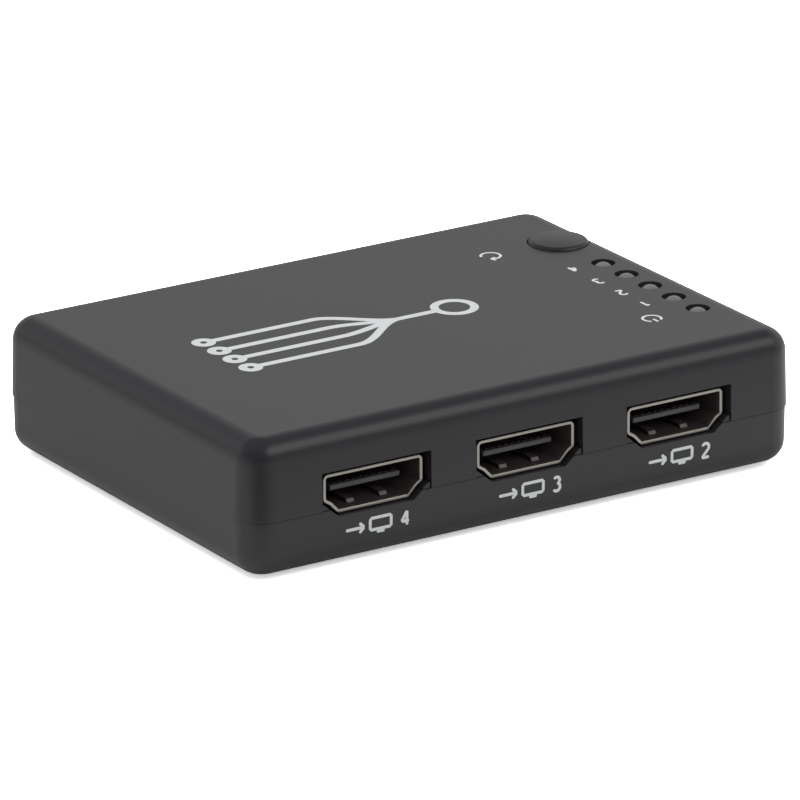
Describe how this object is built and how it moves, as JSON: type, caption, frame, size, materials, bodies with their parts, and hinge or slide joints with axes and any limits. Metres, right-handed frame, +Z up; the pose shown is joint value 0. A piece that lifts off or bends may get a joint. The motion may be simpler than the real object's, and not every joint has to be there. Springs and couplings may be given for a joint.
{
  "type": "hdmi splitter",
  "caption": "Small two-shell plastic HDMI splitter with recessed sockets on both long sides, a power inlet, status lights and a sprung reset button.",
  "frame": {"origin": "centre of the footprint, on the surface that the rubber feet stand on", "axes": "+X along the case, to the right when facing the side with three outputs; +Y from that side to the side with the input; +Z up"},
  "size_m": [0.0852, 0.0634, 0.0198],
  "materials": {
    "case_plastic": "fine moulded texture, dark grey",
    "button_plastic": "fine moulded texture, dark grey",
    "foot_rubber": "matt black",
    "screw_steel": "black zinc",
    "circuit_board": "green solder mask over glass cloth",
    "receptacle_steel": "nickel plated",
    "receptacle_plastic": "black glass-filled nylon",
    "contact_gold": "gold flashed",
    "tinned_metal": "tin plated",
    "lamp_resin": "diffused epoxy, unlit",
    "spacer_plastic": "black nylon",
    "package_black": "moulded epoxy",
    "heatsink_aluminium": "black anodised",
    "thermal_tape": "soft adhesive tape",
    "can_aluminium": "drawn can",
    "ferrite": "pressed ferrite",
    "ceramic": "sintered ceramic"
  },
  "bodies": {
    "case": {"top_shell": "case_plastic", "bottom_shell": "case_plastic", "rubber_feet": "foot_rubber", "case_screws": "screw_steel", "circuit_board": "circuit_board", "power_jack_housing": "receptacle_plastic", "power_jack_pin": "tinned_metal", "power_jack_spring": "tinned_metal", "switch_housing": "spacer_plastic", "switch_cover": "tinned_metal", "switch_dome": "tinned_metal", "switch_terminals": "tinned_metal", "led_leads": "tinned_metal", "led_spacers": "spacer_plastic", "splitter_chip": "package_black", "splitter_chip_leads": "tinned_metal", "thermal_tape": "thermal_tape", "chip_heatsink": "heatsink_aluminium", "control_chip": "package_black", "control_chip_leads": "tinned_metal", "memory_chips": "package_black", "memory_chip_leads": "tinned_metal", "crystal_can": "can_aluminium", "crystal_base": "spacer_plastic", "voltage_regulator": "package_black", "regulator_leads": "tinned_metal", "inductor_core": "ferrite", "inductor_terminals": "tinned_metal", "capacitor_cans": "can_aluminium", "capacitor_bases": "spacer_plastic", "chip_resistors": "package_black", "chip_capacitors": "ceramic", "hdmi_shell_output_4": "receptacle_steel", "hdmi_insulator_output_4": "receptacle_plastic", "hdmi_contacts_output_4": "contact_gold", "hdmi_shell_output_3": "receptacle_steel", "hdmi_insulator_output_3": "receptacle_plastic", "hdmi_contacts_output_3": "contact_gold", "hdmi_shell_output_2": "receptacle_steel", "hdmi_insulator_output_2": "receptacle_plastic", "hdmi_contacts_output_2": "contact_gold", "hdmi_shell_output_1": "receptacle_steel", "hdmi_insulator_output_1": "receptacle_plastic", "hdmi_contacts_output_1": "contact_gold", "hdmi_shell_input": "receptacle_steel", "hdmi_insulator_input": "receptacle_plastic", "hdmi_contacts_input": "contact_gold", "led_power": "lamp_resin", "led_output_1": "lamp_resin", "led_output_2": "lamp_resin", "led_output_3": "lamp_resin", "led_output_4": "lamp_resin"},
    "reset_button": {"reset_button_cap": "button_plastic", "switch_plunger": "spacer_plastic"}
  },
  "joints": [
    {"name": "reset_press", "type": "slide", "parent": "case", "child": "reset_button", "axis": [0, 0, 1], "range_m": [-0.0003, 0], "stiffness_N_per_m": 500, "deforming": ["switch_dome"]}
  ]
}
